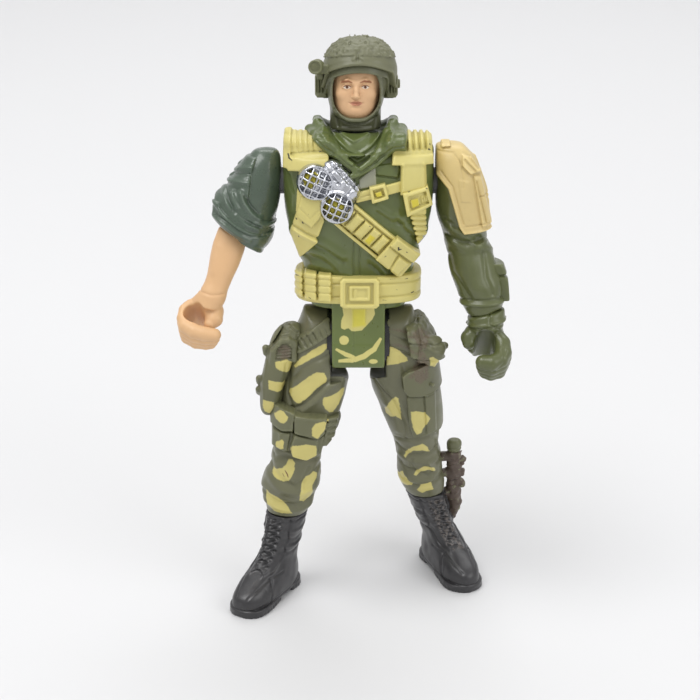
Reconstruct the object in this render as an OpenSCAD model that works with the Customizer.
// Jointed soldier figure, four-inch class: a hollow torso with swivelling head,
// shoulders, hips and right forearm, dressed with moulded webbing and leg gear.
// The figure faces -Y. Its right side is at -X. The soles stand on z = 0.

/* [Stance] */
// Height of the hip axis above the floor
hip_z = 49.6; // [49.4:0.1:49.8]
// Backward lean of the torso in degrees
lean = 7; // [6:0.5:8]

/* [Torso] */
// Half width of the torso across the shoulders
torso_w = 12.5; // [12.4:0.05:12.5]
// Half depth of the chest
torso_d = 8.4; // [8.2:0.1:8.6]
// Thickness of the torso shells
shell_wall = 1.5; // [1.4:0.1:1.6]
// Height of the shoulder axis before the torso leans
shoulder_z = 76.4; // [76.2:0.1:76.6]

/* [Joints] */
// Radius of the neck and shoulder pegs
peg_r = 2.2; // [2.1:0.05:2.3]
// Radial running clearance of every peg in its bore
run_gap = 0.07; // [0.05:0.01:0.09]
// Radius of the flange that keeps a peg inside the torso
flange_r = 3.2; // [3.1:0.05:3.3]
// Radius of the hip axle
axle_r = 1.2; // [1.1:0.05:1.3]
// Radius of the black hip discs
disc_r = 5.3; // [5.2:0.05:5.35]

/* [Hands] */
// Radius of the grip in each hand
grip_r = 1.75; // [1.7:0.05:1.8]
// Width of a hand along its grip
hand_w = 5.6; // [5.4:0.1:5.8]

/* [Hidden] */
$fn = 48;
ring_n = 20;
eps = 0.01;

// The origin sits under the middle of the figure's box.
centre_shift = [2.15, -1.79, 0];

// Plane between the torso and each arm, and the gap beside it
arm_face = 12.8;
// Plane between the crotch plates and each thigh
thigh_face = 4.75;
// The crotch block hangs in front of the thighs from this height down to the notch.
notch_low = 43;
notch_front = -4.6;
plate_half_w = 4.6;
// Radius that the inner thigh keeps clear so that the crotch plates can pass
plate_sweep_r = 7.3;
hip_top_r = 5.4;
waist_z = 57.2;
neck_x = -0.5;
neck_peg_top = 88.2;
shirt_z = 84.8;

// ---- shared shapes ----

// A squircle power below 1 makes a ring's corners fuller than an ellipse's.
function squircle(c, power) = sign(c) * pow(abs(c), power);

// A section is [x, y, z, half width, half depth, tilt about Y, yaw about Z].
function full_section(s) = [for (i = [0 : 6]) i < len(s) ? s[i] : 0];

function catmull(a, b, c, d, t) =
    0.5 * (2 * b + (c - a) * t + (2 * a - 5 * b + 4 * c - d) * t * t
    + (3 * b - a - 3 * c + d) * t * t * t);

function smooth(s, steps) = concat([
    for (i = [0 : len(s) - 2], j = [0 : steps - 1])
        catmull(s[max(i - 1, 0)], s[i], s[i + 1], s[min(i + 2, len(s) - 1)], j / steps)
], [s[len(s) - 1]]);

function ring(s, grow, power) = [
    for (i = [0 : ring_n - 1])
        let (u = (s[3] + grow) * squircle(cos(360 * i / ring_n), power),
             v = (s[4] + grow) * squircle(sin(360 * i / ring_n), power))
        [s[0] + u * cos(s[5]) * cos(s[6]) - v * sin(s[6]),
         s[1] + u * cos(s[5]) * sin(s[6]) + v * cos(s[6]),
         s[2] - u * sin(s[5])]
];

// A closed body through sections listed from the lowest to the highest.
module loft(sections, grow = 0, power = 0.9, steps = 2) {
    rows = smooth([for (s = sections) full_section(s)], steps);
    last = (len(rows) - 1) * ring_n;
    points = [for (s = rows) each ring(s, grow, power)];
    sides = [
        for (r = [0 : len(rows) - 2], i = [0 : ring_n - 1])
            let (a = r * ring_n + i, b = r * ring_n + (i + 1) % ring_n)
            each [[a, a + ring_n, b + ring_n], [a, b + ring_n, b]]
    ];
    bottom = [for (i = [0 : ring_n - 1]) i];
    top = [for (i = [ring_n - 1 : -1 : 0]) last + i];
    polyhedron(points, concat([bottom, top], sides));
}

module placed() {
    translate(centre_shift) children();
}

// Torso parts are drawn upright and leaned back about the hip axis.
module leaned() {
    placed() translate([0, 0, hip_z]) rotate([-lean, 0, 0]) translate([0, 0, -hip_z]) children();
}

// A prism whose outline is drawn in X and Z, from y = near to y = far.
module front_prism(outline, near = -14, far = 0) {
    translate([0, far, 0]) rotate([90, 0, 0]) linear_extrude(far - near) polygon(outline);
}

module block(low, high) {
    translate(low) cube(high - low);
}

// A round bar along X, from x = low to x = high.
module bar_x(low, high, r, y = 0, z = 0) {
    translate([low, y, z]) rotate([0, 90, 0]) cylinder(r = r, h = high - low);
}

// A round bar along Y, from y = low to y = high.
module bar_y(low, high, r, x = 0, z = 0) {
    translate([x, high, z]) rotate([90, 0, 0]) cylinder(r = r, h = high - low);
}

// Stands children on a point with their Z axis towards a second point.
module along(from, to) {
    d = to - from;
    translate(from) rotate([0, acos(d[2] / norm(d)), atan2(d[1], d[0])]) children();
}

// ---- torso ----

module torso_skin(grow = 0) {
    loft([
        [0, 0, waist_z, 9.0, 6.2],
        [0, 0, 62.0, 9.2, 6.4],
        [0, 0, 66.0, 10.4, 7.2],
        [0, 0, 70.0, 11.9, 8.1],
        [0, 0, 75.0, torso_w, torso_d],
        [0, 0, 80.0, torso_w, 8.0],
        [0, 0.2, 82.8, 12.2, 6.6],
        [0, 0.3, shirt_z, 9.6, 4.8]
    ], grow, 0.7);
}

module torso_hollow() {
    loft([
        [0, 0, waist_z - eps, 7.6, 4.8],
        [0, 0, 62.0, 7.8, 5.0],
        [0, 0, 70.0, 10.4, 6.6],
        [0, 0, 75.0, torso_w - shell_wall, torso_d - shell_wall],
        [0, 0, 80.0, torso_w - shell_wall, 6.5],
        [0, 0.2, 83.0, 8.6, 3.9]
    ], 0, 0.7);
}

module torso_bores() {
    for (side = [-1, 1]) {
        bar_x(side > 0 ? 9 : -14, side > 0 ? 14 : -9, peg_r + run_gap, 0, shoulder_z);
    }
    translate([neck_x, 0, 81]) cylinder(r = peg_r + run_gap, h = 6);
}

post_places = [[-5, 64], [5, 64], [0, 77.6]];

module torso_front() {
    color("darkolivegreen") leaned() {
        difference() {
            torso_skin();
            torso_hollow();
            torso_bores();
            block([-20, 0, 50], [20, 20, 90]);
        }
        for (p = post_places) bar_y(-4.8, 3, 1, p[0], p[1]);
    }
}

module torso_back() {
    color("darkolivegreen") leaned() {
        difference() {
            torso_skin();
            torso_hollow();
            torso_bores();
            block([-20, -20, 50], [20, 0, 90]);
        }
        for (p = post_places) difference() {
            bar_y(0.2, 5, 2, p[0], p[1]);
            bar_y(0, 4, 1, p[0], p[1]);
        }
    }
}

// ---- jacket collar and webbing, all shaped to the torso's skin ----

module over_torso(outline, grow, near = -14, far = 0) {
    intersection() {
        torso_skin(grow);
        front_prism(outline, near, far);
    }
}

module collar_mass() {
    loft([[neck_x, 0.4, 82.6, 7.4, 6.6], [neck_x, 0.5, 84.8, 7.0, 6.3], [neck_x, 0.6, 86.9, 6.3, 5.9]]);
}

lapel_right = [[-7.4, 84.2], [-4.6, 84.6], [-4.6, 83.4], [0.2, 78.6], [-1.4, 77.4], [-7.0, 81.4]];
lapel_left = [[7.0, 84.2], [4.2, 84.6], [4.0, 83.4], [0.2, 78.6], [0.6, 77.9], [6.4, 81.6]];

module collar_and_lapels() {
    collar_mass();
    over_torso(lapel_right, 0.8);
    over_torso(lapel_left, 0.8);
}

module collar() {
    color("olivedrab") leaned() difference() {
        collar_and_lapels();
        torso_skin();
        canister_mass();
        translate([neck_x, 0.2, 80]) cylinder(r = 5.3, h = 10);
        front_prism([[-4.4, 88], [3.6, 88], [0.2, 79.0], [-0.4, 79.0]], -14, -1);
    }
}

module over_shoulder(grow, x_near, x_far, z_low) {
    intersection() {
        translate([0, 0, grow / 2]) torso_skin(grow);
        block([x_near, -14, z_low], [x_far, 14, 90]);
    }
}

module back_strap(x_near, x_far) {
    over_torso([[x_near, 61.6], [x_far, 61.6], [x_far, 82], [x_near, 82]], 0.7, 0, 14);
}

module harness_right() {
    color("khaki") leaned() difference() {
        union() {
            over_shoulder(1.0, -11.9, -5.1, 79.6);
            over_torso([[-10.2, 72.8], [-6.0, 72.8], [-5.4, 80], [-9.6, 80]], 0.7);
            back_strap(-9.4, -5.6);
        }
        torso_skin();
        collar_and_lapels();
        side_strap_mass();
        canister_mass();
    }
}

module harness_left() {
    color("khaki") leaned() difference() {
        union() {
            over_shoulder(1.1, 5.5, 12.1, 80.6);
            over_torso([[6.9, 75], [10.9, 75], [10.9, 81], [6.9, 81]], 0.9);
            over_torso([[8.2, 72.6], [11.3, 72.6], [11.3, 68.2], [9.8, 66.7]], 0.7);
            back_strap(5.6, 9.4);
        }
        torso_skin();
        collar_and_lapels();
        harness_buckle_mass();
        bandolier_mass();
        chest_strap_mass();
    }
}

module harness_buckle_mass() {
    over_torso([[7.1, 75.8], [11.5, 76.5], [12.1, 73.8], [7.8, 72.1]], 1.6);
}

module harness_buckle() {
    color("khaki") leaned() difference() {
        harness_buckle_mass();
        torso_skin();
    }
}

module chest_strap_mass() {
    over_torso([[-0.4, 75.6], [6.95, 77.4], [6.95, 75.7], [-0.4, 73.9]], 0.6);
    over_torso([[1.7, 76.4], [4.6, 77.2], [5.1, 74.7], [2.3, 73.9]], 1.2);
}

module chest_strap() {
    color("khaki") leaned() difference() {
        chest_strap_mass();
        torso_skin();
        canister_mass();
        harness_buckle_mass();
    }
}

// The bandolier's own axis runs down across the belly towards the left hip.
module on_bandolier() {
    translate([1.0, 0, 69.6]) rotate([0, 41, 0]) children();
}

cell_pitch = 2.05;

module bandolier_mass() {
    intersection() {
        torso_skin(0.8);
        on_bandolier() block([-5.4, -14, -2.1], [9.8, 0, 2.3]);
        block([-20, -14, 61.6], [11.5, 0, 90]);
    }
    intersection() {
        torso_skin(1.5);
        on_bandolier() for (i = [0 : 3])
            block([-3.6 + i * cell_pitch, -14, -1.5], [-1.75 + i * cell_pitch, 0, 1.9]);
    }
}

module bandolier_pouch_mass() {
    intersection() {
        torso_skin(2.0);
        on_bandolier() block([4.9, -14, -2.3], [9.6, 0, 2.6]);
        block([-20, -14, 61.6], [10.2, 0, 90]);
    }
}

module bandolier() {
    color("khaki") leaned() difference() {
        bandolier_mass();
        torso_skin();
        bandolier_pouch_mass();
        canister_mass();
    }
}

module bandolier_pouch() {
    color("khaki") leaned() difference() {
        bandolier_pouch_mass();
        torso_skin();
    }
}

module side_strap_mass() {
    over_torso([
        [-9.6, 74.2], [-6.4, 74.2], [-5.6, 71.2], [-7.2, 66.8], [-9.6, 64.4], [-11.3, 67], [-10.7, 70]
    ], 1.2);
}

module side_strap() {
    color("khaki") leaned() difference() {
        side_strap_mass();
        torso_skin();
        canister_mass();
    }
}

// Two round lenses at the low end and the square body behind them.
module canister_mass() {
    bar_y(-10.4, -5, 2.75, -7.1, 77.7);
    bar_y(-10.6, -5, 2.5, -3.5, 73.6);
    bar_y(-10.2, -5, 1.9, -4.2, 79.4);
    bar_y(-10.2, -5, 1.9, -1.7, 76.6);
    translate([-4.1, -10.1, 76.9]) rotate([0, 49, 0]) block([-2.2, 0, -2.3], [2.2, 5, 2.3]);
}

module twin_canister() {
    color("silver") leaned() difference() {
        canister_mass();
        torso_skin();
    }
}

// ---- belt ----

module belt_mass() {
    loft([[0, 0, 56.9, 10.5, 7.5], [0, 0, 59.2, 10.6, 7.6], [0, 0, 61.5, 10.6, 7.6]], 0, 0.7);
}

module belt() {
    color("khaki") leaned() difference() {
        belt_mass();
        torso_skin();
        saddle_top();
    }
}

module belt_buckle() {
    color("khaki") leaned() difference() {
        union() {
            block([-2.9, -8.6, 56.5], [2.9, -6.8, 61.6]);
            block([-1.9, -8.9, 57.6], [1.9, -8, 60.6]);
        }
        belt_mass();
        torso_skin();
        saddle_top();
    }
}

module belt_pouches() {
    color("khaki") leaned() difference() {
        intersection() {
            loft([[0, 0, 57.4, 10.9, 8.7], [0, 0, 62.2, 10.9, 8.7]], 0, 0.7);
            union() {
                block([-10.9, -10, 57.5], [-9.2, -3, 61.9]);
                block([-9.0, -10, 57.4], [-6.9, -3, 62.1]);
                block([-6.7, -10, 57.4], [-4.5, -3, 62.0]);
            }
        }
        belt_mass();
        torso_skin();
    }
}

// ---- hips ----

module saddle_top() {
    loft([[0, 0, 55.6, 8.0, 5.9], [0, 0, waist_z, 8.4, 5.9]], 0, 0.7);
}

module crotch_saddle() {
    plate_back = 6.45;
    color("darkolivegreen") leaned() difference() {
        union() {
            saddle_top();
            block([-5.9, -3.5, waist_z - eps], [5.9, 3.5, 59.4]);
            intersection() {
                block([-plate_half_w, -plate_back, 45.2], [plate_half_w, plate_back, 56.2]);
                union() {
                    bar_x(-6, 6, plate_sweep_r - 0.15, 0, hip_z);
                    block([-6, -plate_back, hip_z], [6, plate_back, 57]);
                }
            }
        }
        for (side = [-1, 1]) {
            bar_x(side > 0 ? 1.5 : -6, side > 0 ? 6 : -1.5, disc_r + 0.12, 0, hip_z);
            block([side > 0 ? 1.5 : -6, -disc_r - 0.12, 40], [side > 0 ? 6 : -1.5, disc_r + 0.12, hip_z]);
        }
        bar_x(-6, 6, axle_r + run_gap, 0, hip_z);
        block([-6, -5.4, 40], [6, 5.4, 45.8]);
    }
}

module hip_axle() {
    color("dimgray") placed() bar_x(-7.5, 7.5, axle_r, 0, hip_z);
}

module hip_disc(side) {
    color("black") placed() difference() {
        bar_x(side > 0 ? 1.6 : -6.5, side > 0 ? 6.5 : -1.6, disc_r, 0, hip_z);
        bar_x(-8, 8, axle_r + run_gap, 0, hip_z);
        if (side > 0) block([thigh_face + 0.5, -8, 40], [8, 8, 60]);
        if (side < 0) block([-8, -8, 40], [-thigh_face - 0.5, 8, 60]);
    }
}

module hip_disc_right() {
    hip_disc(-1);
}

module hip_disc_left() {
    hip_disc(1);
}

// ---- legs ----

module leg_mass_right(grow = 0) {
    loft([
        [-12.6, 0.0, 16.4, 3.6, 3.9],
        [-12.2, -0.3, 19.3, 4.5, 4.6],
        [-12.0, -0.6, 22.0, 5.1, 5.1],
        [-11.1, -0.9, 25.2, 4.6, 4.9],
        [-10.6, -1.2, 28.6, 4.3, 4.8],
        [-9.3, -1.4, 31.8, 4.7, 5.0],
        [-8.5, -1.3, 35.6, 5.1, 5.3],
        [-7.6, -1.0, 40.2, 5.6, 5.5],
        [-6.9, -0.5, 44.6, 5.7, 5.6],
        [-6.4, -0.1, 49.0, 5.2, 5.4],
        [-5.9, 0, 52.4, 4.2, 4.9],
        [-5.6, 0, 55.4, 3.5, 3.6]
    ], grow);
}

module leg_mass_left(grow = 0) {
    loft([
        [12.3, 7.7, 16.4, 3.3, 3.9],
        [11.8, 6.9, 18.4, 3.9, 4.3],
        [11.2, 6.3, 20.8, 4.2, 4.7],
        [11.0, 5.2, 24.4, 4.0, 4.7],
        [10.5, 4.0, 27.8, 3.9, 4.6],
        [9.8, 2.7, 31.4, 4.4, 4.9],
        [9.0, 1.9, 35.4, 5.0, 5.3],
        [7.9, 1.0, 40.0, 5.5, 5.5],
        [7.1, 0.4, 44.6, 5.6, 5.6],
        [6.6, 0.1, 49.0, 5.3, 5.4],
        [5.9, 0, 52.4, 4.2, 4.9],
        [5.6, 0, 55.4, 3.5, 3.6]
    ], grow);
}

// Keeps only what turns freely about the hip: a round top, and room for the plates.
module hip_cut(side) {
    difference() {
        children();
        difference() {
            block([-30, -20, hip_z], [30, 20, 60]);
            bar_x(-30, 30, hip_top_r, 0, hip_z);
        }
        bar_x(side > 0 ? -1 : -thigh_face, side > 0 ? thigh_face : 1, plate_sweep_r, 0, hip_z);
        block([side > 0 ? -1 : -thigh_face, -8, notch_low], [side > 0 ? thigh_face : 1, notch_front, hip_z]);
        bar_x(-8, 8, axle_r + run_gap, 0, hip_z);
        bar_x(side > 0 ? 0 : -thigh_face - 0.5, side > 0 ? thigh_face + 0.5 : 0, disc_r, 0, hip_z);
    }
}

plug_r = 2;
boot_top_z = 16.3;

module trouser_right() {
    color("olivedrab") placed() difference() {
        hip_cut(-1) leg_mass_right();
        translate([-12.6, 0, 10]) cylinder(r = plug_r, h = 11);
    }
}

module trouser_left() {
    color("olivedrab") placed() difference() {
        hip_cut(1) leg_mass_left();
        translate([12.1, 7.4, 10]) cylinder(r = plug_r, h = 10);
    }
}

// ---- boots ----

// Sections of one boot: the foot points along its yaw, and the shaft rises to the trouser.
function boot_sections(heel, yaw, top) = [
    for (s = [
        [1.0, -9.2, 3.3, 8.6], [2.6, -9.1, 3.6, 8.8], [4.2, -8.2, 3.4, 7.8], [5.8, -6.6, 3.15, 6.1],
        [7.6, -5.2, 3.0, 4.6], [10.0, -4.6, 3.05, 3.9], [13.2, -4.4, 3.3, 3.7], [boot_top_z, -4.2, 3.5, 3.8]
    ])
        let (rise = max(0, (s[0] - 6) / (boot_top_z - 6)),
             foot = [heel[0] - s[1] * sin(yaw), heel[1] + s[1] * cos(yaw)],
             x = foot[0] + (top[0] - heel[0] - 4.2 * sin(yaw)) * rise,
             y = foot[1] + (top[1] - heel[1] + 4.2 * cos(yaw)) * rise)
        [x, y, s[0], s[2], s[3], 0, yaw]
];

module boot_mass(heel, yaw, top) {
    loft(boot_sections(heel, yaw, top), 0, 0.85);
}

module sole(heel, yaw) {
    translate([heel[0], heel[1], 0]) rotate([0, 0, yaw]) {
        linear_extrude(1.4) {
            translate([0, -3.2]) circle(3.2);
            translate([0, -14.3]) circle(3.7);
            polygon([[-3.2, -3.2], [3.2, -3.2], [3.7, -14.3], [-3.7, -14.3]]);
        }
    }
}

heel_right = [-12.0, 4.8];
yaw_right = -30;
heel_left = [13.5, 14.6];
yaw_left = 23;
top_right = [-12.6, 0];
top_left = [12.3, 7.7];

module boot_right() {
    color("dimgray") placed() {
        boot_mass(heel_right, yaw_right, top_right);
        sole(heel_right, yaw_right);
        translate([-12.6, 0, 8]) cylinder(r = plug_r, h = 13 - eps);
    }
}

module boot_left() {
    color("dimgray") placed() {
        boot_mass(heel_left, yaw_left, top_left);
        sole(heel_left, yaw_left);
        translate([12.1, 7.4, 12]) cylinder(r = plug_r, h = 8 - eps);
    }
}

// ---- leg gear ----

module over_leg_right(outline, grow, near = -14, far = 0) {
    intersection() {
        leg_mass_right(grow);
        front_prism(outline, near, far);
    }
}

module over_leg_left(outline, grow, near = -14, far = 0) {
    intersection() {
        leg_mass_left(grow);
        front_prism(outline, near, far);
    }
}

module sheath_mass() {
    loft([
        [-15.5, -2.4, 36.4, 0.9, 1.3],
        [-15.0, -2.8, 38.6, 1.8, 2.3],
        [-14.6, -3.0, 42.0, 2.2, 2.6],
        [-13.5, -3.0, 46.0, 2.4, 2.7],
        [-12.2, -2.7, 50.0, 2.3, 2.4],
        [-11.4, -2.3, 52.0, 1.5, 1.6]
    ]);
}

module sheath_right() {
    color("darkolivegreen") placed() difference() {
        sheath_mass();
        leg_mass_right();
    }
}

module thigh_strap() {
    color("darkolivegreen") placed() difference() {
        intersection() {
            over_leg_right([[-11.6, 46.4], [-11.2, 49.2], [-5.2, 54.2], [-4.9, 51.6], [-9.6, 48.0]], 0.5);
            union() {
                bar_x(-20, 0, hip_top_r + 0.45, 0, hip_z);
                block([-20, -20, 40], [0, 0, hip_z]);
            }
        }
        leg_mass_right();
        sheath_mass();
    }
}

module knee_pouches() {
    color("darkolivegreen") placed() difference() {
        union() {
            over_leg_right([[-15, 38.6], [-10.9, 37.8], [-11.3, 31.2], [-14.9, 30.8]], 1.5);
            over_leg_right([[-10.7, 37.4], [-5.7, 37.0], [-6.4, 30.2], [-11.4, 31.2]], 1.7);
            over_leg_right([[-5.4, 36.8], [-3.2, 36.6], [-4.0, 31.4], [-6.1, 31.4]], 1.0);
            over_leg_right([[-15, 36.2], [-2, 35.4], [-2, 33.4], [-15, 34.0]], 0.6, -14, 14);
        }
        leg_mass_right();
        sheath_mass();
    }
}

module hip_pouch() {
    color("darkolivegreen") placed() difference() {
        union() {
            over_leg_left([
                [8.4, 52.4], [11.3, 52.6], [13.6, 50.8], [15.0, 48.8], [14.6, 45], [12.4, 46.6], [9.2, 47.6]
            ], 1.6, -14, 3);
            bar_x(11, 14.6, 0.6, -2.4, 48.4);
        }
        leg_mass_left();
    }
}

module cargo_pocket() {
    color("darkolivegreen") placed() difference() {
        union() {
            over_leg_left([[7.4, 44.4], [12.2, 46.2], [16, 44.4], [16, 40.8], [7.8, 40.6]], 1.1, -14, 3);
            over_leg_left([[7.9, 40.7], [16, 40.9], [16, 34.4], [8.9, 34.2]], 0.8, -14, 3);
        }
        leg_mass_left();
    }
}

module knife_mass() {
    loft([
        [17.2, 5.1, 25.2, 1.1, 1.1],
        [17.2, 4.7, 26.0, 1.35, 1.35],
        [17.2, 4.1, 27.4, 1.3, 1.3],
        [17.2, 3.9, 28.0, 0.9, 0.9]
    ]);
}

module knife() {
    color("darkolivegreen") placed() knife_mass();
}

module knife_sheath() {
    color("saddlebrown") placed() difference() {
        union() {
            loft([
                [17.3, 9.5, 9.2, 0.5, 0.5],
                [17.6, 9.0, 11.4, 1.1, 1.0],
                [17.5, 7.8, 16, 1.3, 1.1],
                [17.4, 6.4, 21, 1.3, 1.1],
                [17.2, 5.1, 25.2, 1.35, 1.2]
            ]);
            bar_x(14, 19.6, 0.75, 6.6, 20.2);
            bar_x(14.5, 17.5, 0.9, 5.4, 24);
            bar_x(14.5, 17.5, 0.9, 8.0, 15.4);
        }
        leg_mass_left();
        boot_mass(heel_left, yaw_left, top_left);
    }
}

// ---- right arm ----

elbow_right = [-20.7, -1.3, 68.4];
wrist_right = [-24.2, -4.3, 58.0];

module sleeve_mass_right() {
    loft([
        [-20.1, -1.2, 68.2, 4.2, 4.4, 36],
        [-19.5, -1.0, 69.6, 4.9, 5.0, 35],
        [-18.8, -0.7, 71.4, 5.0, 5.1, 31],
        [-17.8, -0.4, 73.6, 4.7, 4.9, 24],
        [-16.9, -0.1, 75.8, 4.2, 4.6, 17],
        [-16.1, 0, 78.0, 3.7, 4.1, 10],
        [-15.6, 0, 80.2, 2.8, 3.2, 4],
        [-15.4, 0, 81.6, 1.9, 2.0],
        [-15.2, 0, 82.1, 0.8, 0.9]
    ]);
}

module sleeve_right() {
    color("darkslategray") leaned() difference() {
        sleeve_mass_right();
        block([-arm_face, -20, 50], [0, 20, 95]);
        bar_x(-16.2, 0, peg_r, 0, shoulder_z);
        along(elbow_right, wrist_right) {
            translate([0, 0, -1.2]) cylinder(r = 3.15, h = 8);
            translate([0, 0, -4.2]) cylinder(r = 1.5 + run_gap, h = 8);
        }
    }
}

module shoulder_peg(side) {
    color("dimgray") leaned() {
        bar_x(side > 0 ? 9.5 : -16.1, side > 0 ? 16.1 : -9.5, peg_r, 0, shoulder_z);
        bar_x(side > 0 ? 9.4 : -10.4, side > 0 ? 10.4 : -9.4, flange_r, 0, shoulder_z);
    }
}

module shoulder_peg_right() {
    shoulder_peg(-1);
}

module shoulder_peg_left() {
    shoulder_peg(1);
}

// A hand's section across its grip: wrist, palm, curled fingers and thumb.
module hand_outline(wrist, palm, fingers, thumb, mouth) {
    difference() {
        union() {
            circle(grip_r + 1.35);
            for (chain = [wrist, palm, fingers, thumb]) hull() {
                for (c = chain) translate([c[0], c[1]]) circle(c[2], $fn = 32);
            }
        }
        polygon(mouth);
    }
}

hand_tilt = -48;
grip_right = [-26.9, -5.4, 54.4];
grip_left = [20.7, -5.2, 50.1];

module hand(grip) {
    translate(grip) rotate([hand_tilt + 90, 0, 0]) linear_extrude(hand_w, center = true) children();
}

module forearm_right() {
    color("burlywood") leaned() difference() {
        union() {
            difference() {
                loft([
                    [-25.2, -4.9, 55.8, 2.2, 2.3, 16],
                    [-24.2, -4.3, 58.0, 2.2, 2.2, 18],
                    [-23.2, -3.5, 60.8, 2.1, 2.3, 18],
                    [-22.3, -2.7, 63.6, 2.5, 2.6, 18],
                    [-21.5, -2.0, 66.2, 2.65, 2.7, 18],
                    [-20.9, -1.5, 67.8, 2.5, 2.5, 18]
                ]);
                along(elbow_right, wrist_right) translate([0, 0, -6]) cylinder(r = 6, h = 5);
            }
            along(elbow_right, wrist_right) translate([0, 0, -4]) cylinder(r = 1.5, h = 6);
            hand(grip_right)
                hand_outline(
                    [[2.6, 2.6, 2.2], [0.3, 0.9, 2.3]],
                    [[-0.3, 0, 2.8], [-0.5, -1.5, 2.8]],
                    [[-0.8, -2.4, 2.0], [2.2, -4.0, 1.4]],
                    [[3.0, 2.4, 1.6], [3.0, 0.2, 1.0]],
                    [[0.6, -0.3], [5, -0.9], [5, -2.6], [1.0, -2.0]]);
        }
        translate(grip_right) rotate([hand_tilt, 0, 0]) bar_y(-5, 5, grip_r);
    }
}

// ---- left arm ----

module arm_mass_left(grow = 0) {
    loft([
        [21.5, -3.2, 54.6, 2.9, 2.9, -14],
        [21.0, -2.8, 56.4, 3.4, 3.3, -14],
        [20.2, -2.0, 59.5, 3.9, 3.9, -14],
        [19.2, -1.0, 62.6, 3.9, 4.1, -12],
        [18.4, 0.0, 65.6, 3.6, 4.0, -10],
        [17.6, 0.1, 68.8, 3.7, 4.1, -9],
        [16.9, 0, 72.6, 4.0, 4.3, -8],
        [16.5, 0, 76.4, 3.9, 4.4, -5],
        [16.1, 0, 79.4, 3.3, 3.8],
        [15.5, 0, 81.4, 2.2, 2.6],
        [15.1, 0, 82.3, 1.0, 1.2]
    ], grow);
}

module sleeve_left() {
    color("darkolivegreen") leaned() difference() {
        arm_mass_left();
        block([0, -20, 50], [arm_face, 20, 95]);
        bar_x(0, 16.2, peg_r, 0, shoulder_z);
        along([21.5, -3.2, 54.5], [20.6, -2.4, 57.6]) cylinder(r = 1.6, h = 3.2);
    }
}

pad_outline = [[arm_face + 0.05, 84.6], [15.0, 84.6], [18.6, 81], [22.4, 72], [22.4, 68.6], [17.6, 68.3],
    [16.9, 69.4], [14.9, 75.8], [arm_face + 0.05, 78]];

module shoulder_pad() {
    color("tan") leaned() difference() {
        intersection() {
            translate([0, 0, 0.7]) arm_mass_left(0.8);
            front_prism(pad_outline, -14, 14);
        }
        arm_mass_left();
    }
}

module forearm_pocket() {
    color("darkolivegreen") leaned() difference() {
        intersection() {
            arm_mass_left(1.0);
            front_prism([[21.6, 62.6], [27, 62.6], [27, 56.6], [23.2, 56.6]], -3.6, 2.4);
        }
        arm_mass_left();
    }
}

module glove_mass() {
    loft([
        [21.9, -4.0, 51.8, 2.9, 2.7, -14],
        [21.7, -3.6, 53.0, 3.2, 3.1, -14],
        [21.5, -3.2, 54.6, 3.3, 3.2, -14]
    ]);
    hand(grip_left)
        hand_outline(
            [[1.0, 3.2, 2.8], [2.2, 1.0, 2.6]],
            [[2.5, 0.8, 2.6], [2.6, -2.4, 2.6]],
            [[1.7, -4.4, 2.4], [-0.7, -4.5, 1.7]],
            [[-0.4, 3.0, 1.6], [-1.9, 1.5, 1.2]],
            [[-0.4, 0.2], [-5, 0.6], [-5, -2.8], [-0.8, -2.4]]);
}

module glove_left() {
    color("darkolivegreen") leaned() difference() {
        union() {
            difference() {
                glove_mass();
                arm_mass_left();
            }
            along([21.5, -3.2, 54.5], [20.6, -2.4, 57.6]) translate([0, 0, -1]) cylinder(r = 1.6, h = 4.1);
        }
        translate(grip_left) rotate([hand_tilt, 0, 0]) bar_y(-5, 5, grip_r);
    }
}

// ---- head ----

module head_mass(grow = 0) {
    loft([
        [neck_x, -1.7, 87.5, 2.8, 3.4],
        [neck_x, -1.4, 89.0, 4.2, 4.8],
        [neck_x + 0.2, -0.9, 91.2, 5.0, 5.7],
        [0.1, -0.4, 94.0, 5.3, 6.1],
        [0.2, 0, 96.5, 4.9, 5.7],
        [0.2, 0, 98.6, 3.4, 4.2]
    ], grow);
}

module helmet_mass() {
    loft([
        [0.1, 0.2, 90.6, 6.0, 6.8],
        [0.1, 0.1, 93.0, 6.2, 7.1],
        [0.2, 0, 95.6, 6.1, 7.0],
        [0.2, 0, 98.0, 5.0, 5.8],
        [0.2, 0, 99.6, 3.0, 3.6],
        [0.2, 0, 100.2, 1.2, 1.5]
    ]);
}

face_w = 3.7;
face_z = 92.2;

// The egg of the face, seen through the oval opening of the hood.
module face_mass() {
    intersection() {
        head_mass(-0.7);
        translate([-0.3, 0, face_z]) rotate([90, 0, 0]) linear_extrude(9) scale([face_w, 3.9]) circle(1);
    }
}

module face() {
    color("burlywood") leaned() {
        difference() {
            face_mass();
            for (side = [-1, 1]) translate([-0.3 + side * 1.45, -6.6, 92.6]) sphere(0.55);
        }
        translate([-0.3, -5.9, 91.3]) sphere(0.75);
        translate([-0.3, -5.7, 89.9]) rotate([0, 90, 0]) cylinder(r = 0.35, h = 1.8, center = true);
    }
}

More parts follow.
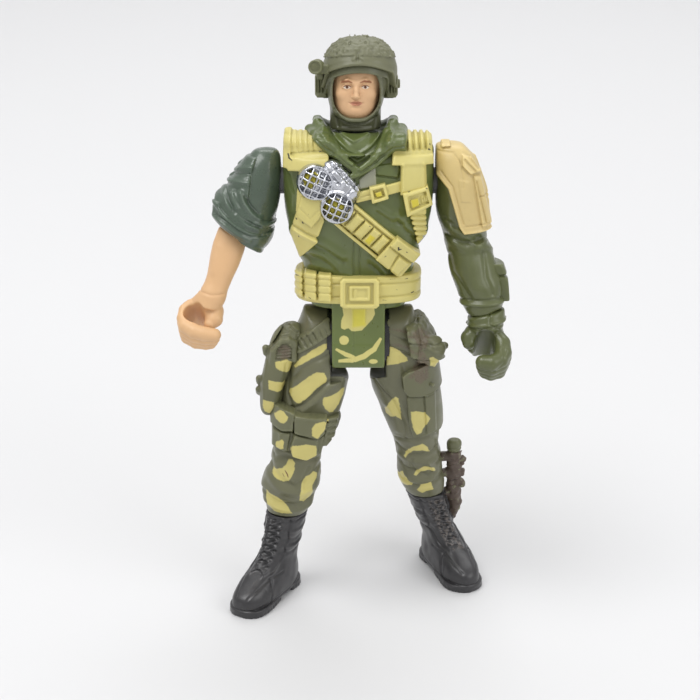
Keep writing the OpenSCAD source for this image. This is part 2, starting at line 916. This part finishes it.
module hood() {
    color("olivedrab") leaned() difference() {
        union() {
            head_mass();
            translate([neck_x, 0, 85.5]) cylinder(r = 4.7, h = 5);
        }
        face_mass();
        translate([-0.3, -4.2, face_z]) rotate([90, 0, 0]) linear_extrude(9) scale([face_w, 3.9]) circle(1);
        translate([neck_x, 0, 80]) cylinder(r = peg_r, h = neck_peg_top - 80);
    }
}

module helmet() {
    color("olivedrab") leaned() difference() {
        helmet_mass();
        head_mass();
        rotate([90, 0, 90]) linear_extrude(20, center = true)
            polygon([[-9, 95.0], [-3.4, 94.6], [-2.2, 91.8], [0, 91.2], [9, 90.8], [9, 80], [-9, 80]]);
    }
}

module ear_cup(side) {
    color("darkolivegreen") leaned() difference() {
        block([side > 0 ? 4 : -7.0, -1.9, 90.6], [side > 0 ? 7.0 : -4, 1.9, 94.2]);
        helmet_mass();
        head_mass();
    }
}

module ear_cup_right() {
    ear_cup(-1);
}

module ear_cup_left() {
    ear_cup(1);
}

module helmet_lamp() {
    color("darkolivegreen") leaned() difference() {
        union() {
            bar_y(-6.0, -3.4, 1.15, -6.7, 95.8);
            block([-7.2, -4.6, 94.6], [-4.8, -3.0, 96.4]);
        }
        helmet_mass();
        head_mass();
    }
}

module neck_peg() {
    color("dimgray") leaned() {
        translate([neck_x, 0, 81.6]) cylinder(r = peg_r, h = neck_peg_top - 81.6);
        translate([neck_x, 0, 81.4]) cylinder(r = flange_r, h = 1.0);
    }
}

face();
hood();
helmet();
helmet_lamp();
ear_cup_right();
ear_cup_left();
neck_peg();
torso_front();
torso_back();
collar();
harness_right();
harness_left();
harness_buckle();
chest_strap();
bandolier();
bandolier_pouch();
side_strap();
twin_canister();
belt();
belt_buckle();
belt_pouches();
crotch_saddle();
hip_axle();
sleeve_right();
shoulder_peg_right();
forearm_right();
sleeve_left();
shoulder_peg_left();
shoulder_pad();
forearm_pocket();
glove_left();
hip_disc_right();
trouser_right();
boot_right();
sheath_right();
thigh_strap();
knee_pouches();
hip_disc_left();
trouser_left();
boot_left();
hip_pouch();
cargo_pocket();
knife();
knife_sheath();
